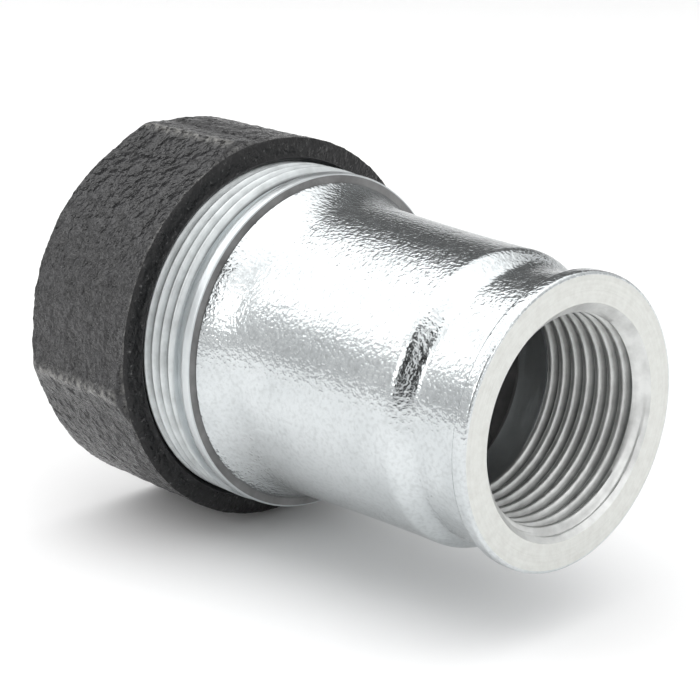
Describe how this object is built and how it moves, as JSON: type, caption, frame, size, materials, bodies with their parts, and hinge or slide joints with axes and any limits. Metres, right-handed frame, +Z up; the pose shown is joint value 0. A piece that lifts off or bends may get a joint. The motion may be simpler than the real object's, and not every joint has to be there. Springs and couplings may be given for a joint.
{
  "type": "compression coupling",
  "caption": "Compression coupling for plain steel pipe: galvanised body with a female pipe thread at one end and a black union nut over a clamping ring and gasket at the other.",
  "frame": {"origin": "middle of the female end's face, on the fitting's axis", "axes": "+X along the axis out of the female end, the nut on the -X side, +Z up with the fitting lying down"},
  "size_m": [0.0866, 0.0644, 0.0632],
  "materials": {
    "galvanised_casting": "hot-dip galvanised, fine cast grain",
    "black_casting": "black, pebbly cast skin, satin",
    "plated_steel": "zinc-plated, turned",
    "seal_rubber": "matt moulded rubber"
  },
  "bodies": {
    "fitting": {"fitting_body": "galvanised_casting", "gasket": "seal_rubber"},
    "clamp": {"pressure_ring": "plated_steel", "clamp_ring": "plated_steel"},
    "nut": {"compression_nut": "black_casting"}
  },
  "joints": [
    {"name": "clamp_slide", "type": "slide", "parent": "fitting", "child": "clamp", "axis": [1, 0, 0], "range_m": [-0.006, 0.0025], "deforming": ["gasket"]},
    {"name": "nut_turn", "type": "hinge", "parent": "clamp", "child": "nut", "pos_m": [-0.074, 0, 0], "axis": [1, 0, 0], "range_deg": [-1080, 450]}
  ],
  "couplings": [
    {"joint": "clamp_slide", "follows": "nut_turn", "m_per_rad": 0.00031831}
  ]
}
